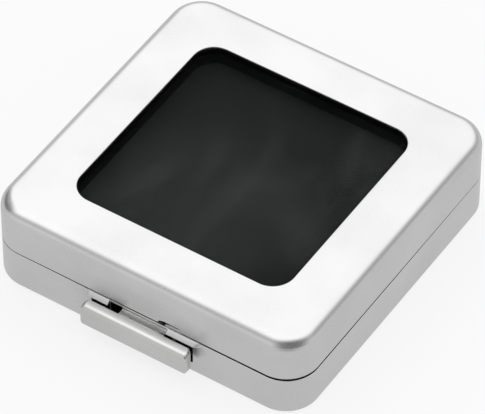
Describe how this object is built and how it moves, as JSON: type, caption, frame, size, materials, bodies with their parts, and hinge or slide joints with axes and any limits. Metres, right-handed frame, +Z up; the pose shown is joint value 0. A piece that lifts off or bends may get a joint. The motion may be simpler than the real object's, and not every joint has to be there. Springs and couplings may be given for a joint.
{
  "type": "gemstone display box",
  "caption": "Small square hinged metal display box with a glass window in the lid, a dark foam pad under it and a sprung press latch at the front.",
  "frame": {"origin": "middle of the flat underside that the box rests on", "axes": "+Z up through the window, -Y towards the latch, +X to the right of someone who faces the latch"},
  "size_m": [0.06, 0.0642, 0.0166],
  "materials": {
    "satin_shell": "satin silver, finely blasted",
    "latch_metal": "satin silver with fine drawn grain",
    "plated_sheet": "nickel plated, slightly dull",
    "pin_steel": "drawn wire, bright",
    "spring_steel": "blue-grey spring strip",
    "black_moulding": "fine matt texture",
    "black_tape": "matt",
    "clear_tape": "milky",
    "pane_glass": "clear, polished",
    "white_foam": "soft closed-cell foam",
    "dark_foam": "soft closed-cell foam, cloudy bloom"
  },
  "bodies": {
    "base": {"base_shell": "satin_shell", "tray_tape": "clear_tape", "pad_tray": "black_moulding", "pad_white_layer": "white_foam", "pad_black_layer": "dark_foam", "hinge_leaf_base": "plated_sheet", "hinge_pin": "pin_steel", "latch_bracket": "plated_sheet", "latch_pin": "pin_steel", "latch_spring": "spring_steel"},
    "lid": {"lid_shell": "satin_shell", "window_tape": "black_tape", "window_glass": "pane_glass", "window_frame": "black_moulding", "lid_catch": "plated_sheet", "hinge_leaf_lid": "plated_sheet"},
    "latch": {"latch_lever": "latch_metal"}
  },
  "joints": [
    {"name": "lid_hinge", "type": "hinge", "parent": "base", "child": "lid", "pos_m": [0, 0.03005, 0.0079], "axis": [-1, 0, 0], "range_deg": [0, 110]},
    {"name": "latch_press", "type": "hinge", "parent": "base", "child": "latch", "pos_m": [0, -0.0274, 0.00615], "axis": [1, 0, 0], "range_deg": [0, 10], "stiffness_Nm_per_rad": 0.04, "springref_deg": -0.57, "deforming": ["latch_spring"]}
  ]
}
